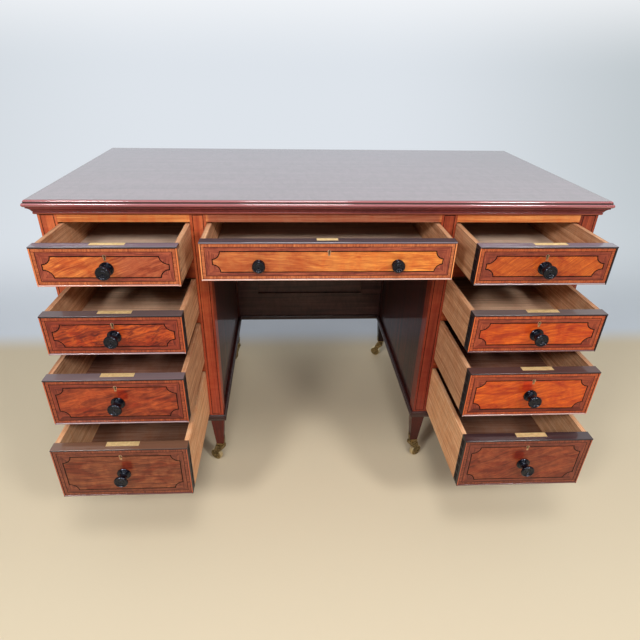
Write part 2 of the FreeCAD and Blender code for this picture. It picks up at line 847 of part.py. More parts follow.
def castor_horn():
    """A forked horn that trails along +X, with its axle pin riveted through both arms."""
    crown_top = castor_height - plate_thickness - boss_height - swivel_gap
    crown_bottom = crown_top - horn_crown_thickness
    half_gap = wheel_width / 2 + horn_wheel_gap
    half_width = half_gap + horn_arm
    eye = (castor_trail, wheel_radius)
    eye_front = (eye[0] - horn_eye_radius, eye[1])
    eye_rear = (eye[0] + horn_eye_radius, eye[1])
    eye_foot = (eye[0], eye[1] - horn_eye_radius)
    middle_z = (crown_bottom + wheel_radius) / 2
    front_middle = ((eye_front[0] - horn_crown_radius) / 2 + horn_bulge, middle_z)
    rear_middle = ((eye_rear[0] + horn_crown_radius) / 2 + horn_bulge, middle_z)

    def place(t, z):
        return Vector(t, -half_width, z)

    start = (-horn_crown_radius, crown_top)
    steps = [
        [(horn_crown_radius, crown_top)],
        [rear_middle, eye_rear],
        [eye_foot, eye_front],
        [front_middle, (-horn_crown_radius, crown_bottom)],
        [(-horn_crown_radius, crown_top)],
    ]
    solid = outline(start, steps, place).extrude(Vector(0, 2 * half_width, 0))
    reach = castor_trail + 2 * wheel_radius
    slot = box((-reach, reach), (-half_gap, half_gap), (0, crown_bottom))
    bore = Part.makeCylinder(pin_radius + pin_gap, castor_height, Vector(0, 0, 0), Vector(0, 0, 1))
    across = Vector(0, 1, 0)
    axle = Part.makeCylinder(axle_radius, 2 * half_width, Vector(eye[0], -half_width, eye[1]), across)
    solid = cut_all(solid, [slot, bore, axle])
    for end in (-half_width - axle_head_thickness, half_width):
        head = Part.makeCylinder(axle_head_radius, axle_head_thickness, Vector(eye[0], end, eye[1]), across)
        axle = axle.fuse(head)
    return [solid, axle.removeSplitter()]


def castor_wheel():
    """A wheel with chamfered edges and a running bore, under the trailing end of the horn."""
    half = wheel_width / 2
    profile = [
        (axle_radius + axle_gap, -half),
        (wheel_radius - wheel_edge, -half),
        (wheel_radius, -half + wheel_edge),
        (wheel_radius, half - wheel_edge),
        (wheel_radius - wheel_edge, half),
        (axle_radius + axle_gap, half),
    ]
    points = [Vector(castor_trail + radius, y, wheel_radius) for radius, y in profile]
    return polygon(points).revolve(Vector(castor_trail, 0, wheel_radius), Vector(0, 1, 0), 360)


def swung(shape, angle, x, y):
    """A castor piece turned to its resting angle and set under its leg."""
    piece = shape.copy()
    piece.rotate(Vector(0, 0, 0), Vector(0, 0, 1), angle)
    piece.translate(Vector(x, y, 0))
    return piece


def add_castors(nodes):
    """A plate, a horn and a wheel under each of the eight legs."""
    plates = []
    for name, (x_range, y_range, foot, inward) in post_places().items():
        x_middle = sum(x_range) / 2
        y_middle = sum(y_range) / 2
        angle = castor_angles[name]
        plates.append(castor_plate(x_range, y_range, foot, inward))
        nodes[f"{name}_horn"] = [swung(piece, angle, x_middle, y_middle) for piece in castor_horn()]
        nodes[f"{name}_wheel"] = [swung(castor_wheel(), angle, x_middle, y_middle)]
    nodes["castor_plates"] = plates


# The whole desk

def make_carcass(nodes):
    """The fixed woodwork, with the posts grooved and mortised for what they hold."""
    side_panels = make_side_panels()
    back_panels = make_back_panels()
    posts = make_posts()
    frames = make_drawer_frames()
    for index, piece in enumerate(frames):
        for post in posts:
            notched = piece.BoundBox.YMin > front_y and piece.BoundBox.intersect(post.BoundBox)
            if notched:
                piece = piece.cut(post)
        frames[index] = piece
    for index, post in enumerate(posts):
        near = [piece for piece in side_panels + back_panels + frames
                if piece.BoundBox.intersect(post.BoundBox)]
        posts[index] = cut_all(post, near)
    nodes["desk_top"] = [make_top()]
    nodes["cornice_moulding"] = make_cornice()
    nodes["posts"] = posts
    nodes["side_panels"] = side_panels
    nodes["back_panels"] = back_panels
    nodes["drawer_frames"] = frames
    nodes["base_moulding"] = make_base_moulding()


def main():
    nodes = {}
    make_carcass(nodes)
    add_drawers(nodes)
    add_castors(nodes)
    os.makedirs("parts", exist_ok=True)
    for name, shapes in nodes.items():
        compound = solids_of(shapes)
        if not compound.isValid():
            raise ValueError(f"{name} is not a valid shape")
        compound.exportStep(f"parts/{name}.step")
        print(name, len(compound.Solids), round(compound.Volume))
    print("height", round(desk_height, 1), "front", round(front_y, 2), "nodes", len(nodes))


main()
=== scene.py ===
"""An inlaid pedestal writing desk with nine drawers, dressed round its solid model.

Lengths are in metres, in the model's own frame: X along the desk, -Y towards the sitter, Z up.
"""
import bmesh
import bpy
import json
import math
from mathutils import Matrix, Vector

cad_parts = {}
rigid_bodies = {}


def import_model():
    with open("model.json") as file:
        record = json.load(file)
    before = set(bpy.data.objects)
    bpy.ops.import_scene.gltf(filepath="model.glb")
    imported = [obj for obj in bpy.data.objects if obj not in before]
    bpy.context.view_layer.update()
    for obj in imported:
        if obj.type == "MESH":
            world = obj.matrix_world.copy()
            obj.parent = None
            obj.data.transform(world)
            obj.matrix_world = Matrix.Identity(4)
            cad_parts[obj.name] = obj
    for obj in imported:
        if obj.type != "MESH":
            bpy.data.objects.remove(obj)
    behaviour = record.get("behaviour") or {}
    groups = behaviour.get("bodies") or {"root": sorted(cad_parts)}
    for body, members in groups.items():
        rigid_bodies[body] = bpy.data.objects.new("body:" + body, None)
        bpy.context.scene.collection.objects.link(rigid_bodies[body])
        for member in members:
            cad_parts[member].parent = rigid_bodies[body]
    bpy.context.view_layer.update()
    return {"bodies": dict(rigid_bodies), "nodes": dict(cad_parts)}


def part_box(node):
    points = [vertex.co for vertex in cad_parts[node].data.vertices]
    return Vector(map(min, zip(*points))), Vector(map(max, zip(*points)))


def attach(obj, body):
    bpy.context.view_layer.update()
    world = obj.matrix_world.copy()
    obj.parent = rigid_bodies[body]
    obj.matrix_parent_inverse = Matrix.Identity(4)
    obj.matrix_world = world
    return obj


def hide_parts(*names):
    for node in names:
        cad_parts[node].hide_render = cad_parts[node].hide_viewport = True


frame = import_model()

mm = 0.001

# The camera is a wide lens held a little left of the desk's middle and above its top, looking
# down at the open drawers. It isn't part of the desk.
camera_place = (-0.08717, -1.18349, 1.0477)
camera_down = math.radians(29.114)
camera_right = math.radians(3.096)
camera_roll = math.radians(1.012)
focal_pixels = 488.357
frame_pixels = 640
axis_pixels = (309.131, 320.401)

lens = bpy.data.cameras.new("camera")
lens.lens = lens.sensor_width * focal_pixels / frame_pixels
lens.shift_x = 0.5 - axis_pixels[0] / frame_pixels
lens.shift_y = axis_pixels[1] / frame_pixels - 0.5
camera = bpy.data.objects.new("camera", lens)
bpy.context.scene.collection.objects.link(camera)
turned_right = Matrix.Rotation(-camera_right, 4, "Z")
tipped_down = Matrix.Rotation(math.pi / 2 - camera_down, 4, "X")
rolled = Matrix.Rotation(camera_roll, 4, "Z")
camera.matrix_world = Matrix.Translation(camera_place) @ turned_right @ tipped_down @ rolled
bpy.context.scene.camera = camera
bpy.context.scene.view_settings.view_transform = "Standard"


# The studio is a plain pale floor that sweeps up into a pale wall, an even white room round it,
# and soft lamps in front and above. Only the floor and wall are objects, and they are staging.
def tone(red, green, blue):
    """A colour as a screen shows it, from 0 to 255, in the shader's own linear numbers."""
    linear = []
    for level in (red, green, blue):
        share = level / 255
        linear.append(share / 12.92 if share <= 0.04045 else ((share + 0.055) / 1.055) ** 2.4)
    return (*linear, 1.0)


def add_node(tree, kind, inputs=None, **settings):
    """One shader node, with its inputs linked to other nodes' outputs or set to plain values."""
    node = tree.nodes.new("ShaderNode" + kind)
    for name, value in settings.items():
        setattr(node, name, value)
    for name, value in (inputs or {}).items():
        if isinstance(value, bpy.types.NodeSocket):
            tree.links.new(value, node.inputs[name])
        else:
            node.inputs[name].default_value = value
    return node


def work_out(tree, operation, first, second=0.0, third=0.0):
    """One step of arithmetic in a shader."""
    node = add_node(tree, "Math", {0: first, 1: second, 2: third}, operation=operation)
    return node.outputs[0]


def rise(tree, place, axis, start, end):
    """0 before start and 1 past end, along one axis of the piece."""
    parts = add_node(tree, "SeparateXYZ", {"Vector": place})
    inputs = {"Value": parts.outputs[axis], "From Min": start, "From Max": end}
    return add_node(tree, "MapRange", inputs, interpolation_type="SMOOTHSTEP").outputs["Result"]


def seen_directly(tree):
    """1 for what the camera, a reflection or glass shows, and 0 for the light on the desk."""
    path = add_node(tree, "LightPath").outputs
    shown = work_out(tree, "MAXIMUM", path["Is Camera Ray"], path["Is Glossy Ray"])
    return work_out(tree, "MAXIMUM", shown, path["Is Transmission Ray"])


floor_colour = tone(213, 198, 170)
wall_colour = tone(222, 228, 235)
# The wall is painted darker towards either side, as painted shade
wall_shade = tone(188, 196, 200)
wall_head = tone(252, 253, 255)
sweep_start = 1.1
sweep_radius = 1.4
sweep_width = 14.0
sweep_front = -6.0
wall_top = 6.0
sweep_steps = 24
# Where each change of colour on the floor and wall starts and where it is full
right_shade = 0.4, 3.0
left_shade = -0.8, -3.4
left_shade_share = 0.6
head_light = 0.9, 1.7
floor_to_wall = 0.46, 0.62
matt_to_even = 0.5, 1.6
paint_roughness = 0.85
paint_shine = 0.2

sweep_line = [(sweep_front, 0.0)]
for step in range(sweep_steps + 1):
    turn = math.pi / 2 * step / sweep_steps
    sweep_line.append((sweep_start + sweep_radius * math.sin(turn), sweep_radius * (1 - math.cos(turn))))
sweep_line.append((sweep_start + sweep_radius, wall_top))
sweep = bmesh.new()
rows = [[sweep.verts.new((side * sweep_width / 2, y, z)) for side in (-1, 1)] for y, z in sweep_line]
for lower, upper in zip(rows, rows[1:]):
    sweep.faces.new((lower[0], lower[1], upper[1], upper[0])).smooth = True
sweep_mesh = bpy.data.meshes.new("studio_sweep")
sweep.to_mesh(sweep_mesh)
sweep.free()
studio_sweep = bpy.data.objects.new("studio_sweep", sweep_mesh)
bpy.context.scene.collection.objects.link(studio_sweep)

sweep_paint = bpy.data.materials.new("pale_paint")
sweep_paint.use_nodes = True
tree = sweep_paint.node_tree
place = add_node(tree, "TexCoord").outputs["Object"]
right_share = rise(tree, place, "X", *right_shade)
left_share = work_out(tree, "MULTIPLY", rise(tree, place, "X", *left_shade), left_shade_share)
aside = work_out(tree, "ADD", right_share, left_share)
wall = add_node(tree, "MixRGB", {"Fac": aside, "Color1": wall_colour, "Color2": wall_shade}).outputs["Color"]
high_share = rise(tree, place, "Z", *head_light)
wall = add_node(tree, "MixRGB", {"Fac": high_share, "Color1": wall, "Color2": wall_head}).outputs["Color"]
wall_share = rise(tree, place, "Y", *floor_to_wall)
far_share = rise(tree, place, "Y", *matt_to_even)
paint = add_node(tree, "MixRGB", {"Fac": wall_share, "Color1": floor_colour, "Color2": wall})
matt = tree.nodes["Principled BSDF"]
matt.inputs["Roughness"].default_value = paint_roughness
matt.inputs["Specular IOR Level"].default_value = paint_shine
tree.links.new(paint.outputs["Color"], matt.inputs["Base Color"])
glow = add_node(tree, "Emission", {"Color": wall, "Strength": 1.0})
even_share = work_out(tree, "MULTIPLY", far_share, seen_directly(tree))
mixed = add_node(tree, "MixShader", {0: even_share, 1: matt.outputs[0], 2: glow.outputs[0]})
tree.links.new(mixed.outputs[0], tree.nodes["Material Output"].inputs["Surface"])
sweep_mesh.materials.append(sweep_paint)

# The room's light on the desk, and the share of it that comes from the sitter's side
room_light = 0.62
sitter_side_share = 0.25
sitter_to_wall_side = -0.6, 0.2

room = bpy.data.worlds.new("white_room")
room.use_nodes = True
tree = room.node_tree
tree.nodes.clear()
room_level = work_out(tree, "MULTIPLY_ADD", seen_directly(tree), 1.0 - room_light, room_light)
towards_wall = rise(tree, add_node(tree, "TexCoord").outputs["Generated"], "Y", *sitter_to_wall_side)
shade = work_out(tree, "MULTIPLY_ADD", towards_wall, 1.0 - sitter_side_share, sitter_side_share)
shade = work_out(tree, "MAXIMUM", shade, add_node(tree, "LightPath").outputs["Is Camera Ray"])
room_level = work_out(tree, "MULTIPLY", room_level, shade)
air = add_node(tree, "Background", {"Color": wall_colour, "Strength": room_level})
add_node(tree, "OutputWorld", {"Surface": air.outputs[0]})
bpy.context.scene.world = room


def add_lamp(name, place, aim, size, power):
    """A square soft lamp that faces a point."""
    light = bpy.data.lights.new(name, "AREA")
    light.shape = "SQUARE"
    light.size = size
    light.energy = power
    lamp = bpy.data.objects.new(name, light)
    bpy.context.scene.collection.objects.link(lamp)
    aimed = (Vector(aim) - Vector(place)).to_track_quat("-Z", "Y")
    lamp.matrix_world = Matrix.Translation(place) @ aimed.to_matrix().to_4x4()


# Each lamp's name, its place, the point that it faces, its width and its power in watts
lamps = [
    ("left_lamp", (-1.5, -2.3, 2.2), (-0.2, 0.0, 0.4), 0.5, 42.0),
    ("right_lamp", (1.6, -2.3, 2.3), (0.2, 0.0, 0.4), 0.5, 42.0),
    ("front_lamp", (0.0, -2.5, 2.4), (0.0, 0.0, 0.2), 0.8, 24.0),
    ("ceiling_lamp", (0.0, -1.3, 3.1), (0.0, -0.1, 0.4), 0.8, 22.0),
]
for lamp in lamps:
    add_lamp(*lamp)


# The posts are solid mahogany, square down to the base moulding and tapered below it to the
# castors. The rails and panels are tenoned and grooved into them.
bend_length = 70 * mm
fibre_width = 1.3 * mm
pore_length = 9.0 * mm
pore_width = 0.55 * mm
mottle_length = 16.0 * mm
mottle_width = 40.0 * mm
arris_round = 1.5 * mm
pore_brown = tone(120, 90, 70)
arris_brown = tone(120, 80, 76)


def streaks(tree, place, grain, length, width, wander, seed):
    """Long marks along the grain, from 0 to 1, about so long and so wide."""
    scale = [1 / width] * 3
    scale["XYZ".index(grain)] = 1 / length
    inputs = {"Vector": place, "Scale": scale, "Location": (seed, seed * 1.7, seed * 2.3)}
    stretched = add_node(tree, "Mapping", inputs).outputs["Vector"]
    inputs = {"Vector": stretched, "Scale": 1.0, "Detail": 4.0, "Roughness": 0.6, "Distortion": wander}
    return add_node(tree, "TexNoise", inputs).outputs[0]


def spread(tree, value, low, high, new_low=0.0, new_high=1.0):
    """A value between low and high, stretched to new limits."""
    inputs = {"Value": value, "From Min": low, "From Max": high, "To Min": new_low, "To Max": new_high}
    return add_node(tree, "MapRange", inputs).outputs["Result"]


def tint(tree, kind, share, under, over):
    """One colour laid over another."""
    inputs = {"Fac": share, "Color1": under, "Color2": over}
    return add_node(tree, "MixRGB", inputs, blend_type=kind).outputs["Color"]


def swirled(tree, place, slope, swirl):
    """The place as the grain sees it, where the grain rises by a slope and wanders by a swirl."""
    turned = add_node(tree, "VectorRotate", {"Vector": place, "Angle": slope}, rotation_type="Y_AXIS")
    bends = add_node(tree, "TexNoise", {"Vector": place, "Scale": 1 / bend_length, "Detail": 2.0})
    inputs = {0: bends.outputs["Color"], 1: (swirl, swirl, swirl), 2: turned.outputs["Vector"]}
    return add_node(tree, "VectorMath", inputs, operation="MULTIPLY_ADD").outputs["Vector"]


def arrises(tree, width):
    """1 along the sharp edges of a piece, and 0 on its faces."""
    rounded = add_node(tree, "Bevel", {"Radius": width}, samples=4).outputs["Normal"]
    plain = add_node(tree, "NewGeometry").outputs["Normal"]
    likeness = add_node(tree, "VectorMath", {0: rounded, 1: plain}, operation="DOT_PRODUCT").outputs["Value"]
    return spread(tree, likeness, 0.995, 0.85)


def shader_of(material):
    """The one shader that gives a finish its colour and shine."""
    return material.node_tree.nodes["Principled BSDF"]


def timber(name, dark, light, grain, length, width, wander=0.6, polish=0.3, seed=0.0, turn=None,
           slope=0.0, swirl=0.0, edge_shade=0.5, contrast=0.16):
    """A timber with its figure, fibres and pores, and a coat of polish from 0 to 1 over it.
    The figure's marks are about length by width, and where turn is 1 its X and Y are swapped."""
    material = bpy.data.materials.new(name)
    material.use_nodes = True
    tree = material.node_tree
    place = add_node(tree, "TexCoord").outputs["Object"]
    if turn:
        parts = add_node(tree, "SeparateXYZ", {"Vector": place}).outputs
        swapped = add_node(tree, "CombineXYZ", {"X": parts["Y"], "Y": parts["X"], "Z": parts["Z"]})
        place = tint(tree, "MIX", turn(tree), place, swapped.outputs["Vector"])
    if slope or swirl:
        place = swirled(tree, place, math.radians(slope), swirl)
    figure = streaks(tree, place, grain, length, width, wander, seed)
    fibres = streaks(tree, place, grain, length * 0.7, fibre_width, wander * 0.3, seed + 3.0)
    pores = streaks(tree, place, grain, pore_length, pore_width, 0.0, seed + 5.0)
    mottle = streaks(tree, place, grain, mottle_length, mottle_width, 0.8, seed + 7.0)
    colour = tint(tree, "MIX", spread(tree, figure, 0.5 - contrast, 0.5 + contrast), dark, light)
    colour = tint(tree, "MULTIPLY", spread(tree, fibres, 0.35, 0.65, 0.5, 0.0), colour, dark)
    colour = tint(tree, "MULTIPLY", spread(tree, mottle, 0.4, 0.65, 0.0, 0.35), colour, light)
    colour = tint(tree, "MULTIPLY", spread(tree, pores, 0.60, 0.72, 0.0, 0.55), colour, pore_brown)
    if edge_shade:
        darkened = work_out(tree, "MULTIPLY", arrises(tree, arris_round), edge_shade)
        colour = tint(tree, "MULTIPLY", darkened, colour, arris_brown)
    shader = shader_of(material)
    tree.links.new(colour, shader.inputs["Base Color"])
    roughness = spread(tree, fibres, 0.3, 0.7, 0.62 - 0.30 * polish, 0.74 - 0.34 * polish)
    tree.links.new(roughness, shader.inputs["Roughness"])
    shader.inputs["Coat Weight"].default_value = polish
    shader.inputs["Coat Roughness"].default_value = 0.06
    shader.inputs["Specular IOR Level"].default_value = 0.2 + 0.3 * polish
    height = work_out(tree, "ADD", fibres, pores)
    bump = add_node(tree, "Bump", {"Height": height, "Strength": 0.35, "Distance": 0.25 * mm})
    tree.links.new(bump.outputs["Normal"], shader.inputs["Normal"])
    return material


def stain(material, mask, colour, kind="MIX"):
    """Colours a finish where its mask is 1."""
    tree = material.node_tree
    base = shader_of(material).inputs["Base Color"]
    stained = tint(tree, kind, mask(tree), base.links[0].from_socket, colour)
    tree.links.new(stained, base)


def along(axis, start, end):
    """A mask that goes from 0 at start to 1 at end along an axis of the piece."""
    return lambda tree: rise(tree, add_node(tree, "TexCoord").outputs["Object"], axis, start, end)


def dress(node, material):
    """Gives one node of the model its finish."""
    for held in frame["nodes"][node].material_slots:
        held.material = material


posts_low, posts_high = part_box("posts")
base_low, base_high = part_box("base_moulding")
# Where the posts darken: towards the floor and below the base moulding, and with painted shade towards
# the right and the rear. Each is an axis, where the darkening starts, where it is full, and its colour.
post_darkening_and_painted_shade = [
    ("Z", 0.66, 0.3, tone(225, 195, 215)),
    ("X", -0.1, 0.3, tone(192, 168, 174)),
    ("Y", 0.2, 0.3, tone(120, 92, 104)),
    ("Z", base_high.z, base_low.z, tone(140, 100, 100)),
]
post_figure = 220 * mm, 9 * mm
post_mahogany = timber("post_mahogany", tone(166, 74, 42), tone(222, 120, 66), "Z", *post_figure, seed=1.0)
for axis, start, full, shade in post_darkening_and_painted_shade:
    stain(post_mahogany, along(axis, start, full), shade, "MULTIPLY")
dress("posts", post_mahogany)


# The side panels and the back are framed in mahogany, each panel set back in its frame and held
# in grooves so that it can move. They are stained dark and french polished outside.
panel_figure = 350 * mm, 16 * mm
back_figure = 400 * mm, 20 * mm
panel_mahogany = timber("panel_mahogany", tone(44, 18, 20), tone(90, 35, 30), "Z", *panel_figure, seed=2.0)
dress("side_panels", panel_mahogany)
back_mahogany = timber("back_mahogany", tone(66, 38, 42), tone(104, 66, 66), "X", *back_figure, seed=2.5)
dress("back_panels", back_mahogany)


# The rails between the drawers are faced with satinwood where they show, and the runners, guides,
# kickers and dust boards behind them are plain deal. The rails are tenoned into the posts.
facing_thickness = 3 * mm
facing_rear = posts_low.y + facing_thickness
centre_half = 250 * mm
frieze_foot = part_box("left_drawer_1_box")[1].z
rail_fade = 10 * mm
centre_rail_painted_shade = tone(196, 188, 240)
lower_rail_painted_shade = tone(172, 128, 122)
deal = tone(120, 92, 70)
rail_figure = 180 * mm, 7 * mm
rail_timber = timber("rail_satinwood", tone(194, 106, 52), tone(242, 166, 94), "X", *rail_figure, seed=3.0)


def between(axis, low, high, soft):
    """A mask that is 1 between two places along an axis of the piece."""
    return lambda tree: work_out(
        tree, "MINIMUM", along(axis, low - soft, low)(tree), along(axis, high + soft, high)(tree))


# Painted shade darkens the rail over the centre drawer and the lower rails between the drawers
stain(rail_timber, between("X", -centre_half, centre_half, rail_fade), centre_rail_painted_shade, "MULTIPLY")
stain(rail_timber, along("Z", frieze_foot, frieze_foot - rail_fade), lower_rail_painted_shade, "MULTIPLY")
stain(rail_timber, along("Y", facing_rear, facing_rear + facing_thickness), deal)
dress("drawer_frames", rail_timber)


# The base moulding is a small ebonised length of mahogany, mitred round the foot of each pedestal
# and planted on its rails with glue.
rubbed_brown = tone(66, 34, 26)
rubbed_edge = 0.8 * mm
black_fibre = 60 * mm, 1.2 * mm
black_wear = 30 * mm, 9 * mm


def ebonised(name, colour, roughness=0.22, gloss=0.6, wear_share=1.0, grain_share=1.0):
    """Wood stained black and french polished, with a trace of its grain, rubbed brown at edges."""
    material = bpy.data.materials.new(name)
    material.use_nodes = True
    tree = material.node_tree
    place = add_node(tree, "TexCoord").outputs["Object"]
    fibres = streaks(tree, place, "X", *black_fibre, 0.3, 4.0)
    wear = streaks(tree, place, "X", *black_wear, 0.6, 9.0)
    worn = spread(tree, wear, 0.58, 0.74, 0.0, 0.4)
    rubbed = work_out(tree, "MULTIPLY", arrises(tree, rubbed_edge), spread(tree, wear, 0.45, 0.65, 0.0, 0.7))
    worn = work_out(tree, "MULTIPLY", work_out(tree, "MAXIMUM", worn, rubbed), wear_share)
    shader = shader_of(material)
    tree.links.new(tint(tree, "MIX", worn, colour, rubbed_brown), shader.inputs["Base Color"])
    dullest = roughness + 0.14 * grain_share
    tree.links.new(spread(tree, fibres, 0.3, 0.7, roughness, dullest), shader.inputs["Roughness"])
    shader.inputs["Coat Weight"].default_value = gloss
    shader.inputs["Coat Roughness"].default_value = 0.08
    bump = add_node(tree, "Bump", {"Height": fibres, "Strength": 0.25 * grain_share, "Distance": 0.2 * mm})
    tree.links.new(bump.outputs["Normal"], shader.inputs["Normal"])
    return material


base_black = ebonised("ebonised_base", tone(52, 25, 25), gloss=0.25)
dress("base_moulding", base_black)


# The cornice is a mahogany moulding of a fillet, a hollow and a bead, mitred at the corners and
# planted round the carcass under the top.
fillet_from = 4 * mm
fillet_full = 2 * mm
cornice_foot_lighter = tone(150, 74, 52)
moulding_figure = 300 * mm, 6 * mm
moulding_mahogany = timber(
    "moulding_mahogany", tone(104, 40, 44), tone(160, 76, 68), "X", *moulding_figure, polish=0.15, seed=4.0)
cornice_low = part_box("cornice_moulding")[0]
# The cornice is coloured lighter along its foot
stain(moulding_mahogany, along("Z", cornice_low.z + fillet_from, cornice_low.z + fillet_full), cornice_foot_lighter)
dress("cornice_moulding", moulding_mahogany)


# The top is one wide mahogany board with a moulded edge, a quarter round over a round nosing. It
# is deeply french polished, so that it mirrors the wall, and is fixed with buttons from below.
top_low, top_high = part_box("desk_top")
round_start = 7.6 * mm
round_blend = 1 * mm
arris_width = 1.8 * mm
quirk_low = 8.6 * mm
quirk_high = 11.2 * mm
quirk_blend = 0.6 * mm
underside_from = 3.5 * mm
underside_full = 0.5 * mm
edge_polish_share = 0.3
moulded_edge_colour_and_sheen = tone(156, 84, 86)
top_arris_dark_line = tone(34, 14, 18)
quirk_painted_shade = tone(52, 20, 20)
underside_painted_shadow = tone(92, 30, 30)
top_figure = 500 * mm, 22 * mm
# The top's mauve-grey colour is partly the board's own colour and partly a painted reflection of the pale
# wall
top_mahogany = timber(
    "top_mahogany", tone(92, 66, 84), tone(120, 90, 106), "X", *top_figure,
    polish=1.0, seed=5.0, edge_shade=0, contrast=0.24)
shader_of(top_mahogany).inputs["Coat IOR"].default_value = 2.6


def way_in(tree, low, high):
    """How far a place lies inside the nearest side of the piece, seen from above."""
    parts = add_node(tree, "SeparateXYZ", {"Vector": add_node(tree, "TexCoord").outputs["Object"]}).outputs
    ways = [
        work_out(tree, "SUBTRACT", parts["X"], low.x), work_out(tree, "SUBTRACT", high.x, parts["X"]),
        work_out(tree, "SUBTRACT", parts["Y"], low.y), work_out(tree, "SUBTRACT", high.y, parts["Y"])]
    across = work_out(tree, "MINIMUM", ways[0], ways[1])
    return work_out(tree, "MINIMUM", across, work_out(tree, "MINIMUM", ways[2], ways[3]))


def moulded_edge(tree):
    """1 on the moulded edge of the top, and 0 on its flat."""
    return spread(tree, way_in(tree, top_low, top_high), round_start, round_start - round_blend)


def top_arris(tree):
    """A dark line where the flat meets the moulded edge."""
    inward = way_in(tree, top_low, top_high)
    outer = spread(tree, inward, round_start - arris_width, round_start)
    return work_out(tree, "MULTIPLY", outer, spread(tree, inward, round_start + arris_width, round_start))


def polish_less(material, mask, share):
    """Thins a timber's coat of polish to a share of itself where its mask is 1."""
    tree = material.node_tree
    coat = shader_of(material).inputs["Coat Weight"]
    tree.links.new(spread(tree, mask(tree), 0.0, 1.0, coat.default_value, coat.default_value * share), coat)


polish_less(top_mahogany, moulded_edge, edge_polish_share)
# The moulded edge is paler and mauve, partly its own colour and partly painted sheen
stain(top_mahogany, moulded_edge, moulded_edge_colour_and_sheen)
stain(top_mahogany, top_arris, top_arris_dark_line)
# Painted shade darkens the quirk between the quarter round and the nosing
quirk = between("Z", top_low.z + quirk_low, top_low.z + quirk_high, quirk_blend)
stain(top_mahogany, quirk, quirk_painted_shade)
# Painted shadow darkens the lower part of the nosing and the top's underside
stain(top_mahogany, along("Z", top_low.z + underside_from, top_low.z + underside_full), underside_painted_shadow)
dress("desk_top", top_mahogany)


# The drawer boxes are thin quartered mahogany, unpolished. The sides are dovetailed to the front
# and back, and the bottom slides in grooves with its grain from side to side.
drawers = [body for body in sorted(frame["bodies"]) if "drawer" in body]
bottom_top = 14.2 * mm
bottom_blend = 1 * mm
lining_figure = 160 * mm, 6 * mm
planed = tone(182, 132, 96), tone(230, 184, 144)
# The lowest drawers' linings are paler, as painted light
planed_painted_light = tone(212, 158, 116), tone(250, 208, 164)
# Painted light and shade on the bottom boards: lighter in the upper drawers, darker in the lower ones under
# the drawer above. The keys are the last letters of the drawers' names.
bottom_painted_light_and_shade = {
    "1": ("SCREEN", tone(146, 144, 134)), "2": ("SCREEN", tone(112, 108, 98)),
    "3": ("MULTIPLY", tone(174, 166, 182)), "4": ("MULTIPLY", tone(144, 136, 146)),
    "r": ("SCREEN", tone(146, 144, 134)),
}
linings = {}


def lying_flat(tree):
    """1 on faces that look up or down."""
    normal = add_node(tree, "TexCoord").outputs["Normal"]
    upright = add_node(tree, "SeparateXYZ", {"Vector": normal}).outputs["Z"]
    return work_out(tree, "GREATER_THAN", work_out(tree, "ABSOLUTE", upright), 0.5)


for order, drawer in enumerate(drawers):
    low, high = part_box(f"{drawer}_box")

    def bottom_board(tree, top=low.z + bottom_top):
        under = along("Z", top + bottom_blend, top)(tree)
        return work_out(tree, "MULTIPLY", under, lying_flat(tree))

    dark, light = planed_painted_light if drawer[-1] == "4" else planed
    lining = timber(
        f"{drawer}_lining", dark, light, "Y", *lining_figure,
        wander=0.5, polish=0.0, seed=6.0 + order, turn=bottom_board, edge_shade=0.3)
    kind, painted_bottom_tone = bottom_painted_light_and_shade[drawer[-1]]
    stain(lining, bottom_board, painted_bottom_tone, kind)
    linings[drawer] = lining
    dress(f"{drawer}_box", lining)


# The drawer fronts are mahogany boards with cockbeads let into their four edges. The top edge is
# polished black across its whole width, and so are the sides; the beads show orange from the front.
bead_width = 3.2 * mm
bead_line_share = 1.02
bead_projection = 1.6 * mm
bead_blend = 0.6 * mm
flank_blend = 0.2 * mm
face_polish_share = 0.1
board_figure = 200 * mm, 8 * mm
board_colours = tone(128, 84, 60), tone(172, 124, 92)
bead_black = tone(26, 18, 22)
# The centre front's head bead is pale, a painted highlight
centre_head_painted_highlight = tone(112, 98, 108)
# The black of each top edge, worn by hands and lightened with painted reflection, and how much polish is
# left on it by the drawer's row
top_blacks_worn_and_reflecting = {
    "left_drawer_1": tone(100, 88, 100), "right_drawer_1": tone(100, 88, 100),
    "left_drawer_2": tone(88, 72, 72), "right_drawer_2": tone(96, 82, 80),
    "left_drawer_3": tone(104, 88, 90), "right_drawer_3": tone(78, 50, 46),
    "left_drawer_4": tone(106, 72, 52), "right_drawer_4": tone(50, 30, 32),
    "centre_drawer": tone(58, 46, 52),
}
top_polish = {"1": 0.9, "2": 0.4, "3": 0.4, "4": 0.6, "r": 0.9}
# The colour of each front's beads, and the painted reflection on the bead along its foot
bead_tones = {
    "left_drawer_1": tone(210, 116, 64), "right_drawer_1": tone(206, 108, 56),
    "left_drawer_2": tone(190, 90, 48), "right_drawer_2": tone(206, 98, 46),
    "left_drawer_3": tone(180, 84, 46), "right_drawer_3": tone(194, 92, 46),
    "left_drawer_4": tone(164, 80, 50), "right_drawer_4": tone(160, 78, 48),
    "centre_drawer": tone(228, 140, 82),
}
foot_bead_painted_reflections = {
    "left_drawer_1": tone(208, 150, 134), "right_drawer_1": tone(160, 138, 140),
    "left_drawer_2": tone(168, 140, 142), "right_drawer_2": tone(112, 78, 78),
    "left_drawer_3": tone(160, 134, 136), "right_drawer_3": tone(190, 154, 146),
    "left_drawer_4": tone(96, 48, 42), "right_drawer_4": tone(96, 48, 42),
    "centre_drawer": tone(218, 174, 160),
}
# The front whose sides have lost their black, and those whose right-hand bead is black too
bare_sided = ["left_drawer_1"]
black_beaded = ["right_drawer_1", "right_drawer_2"]


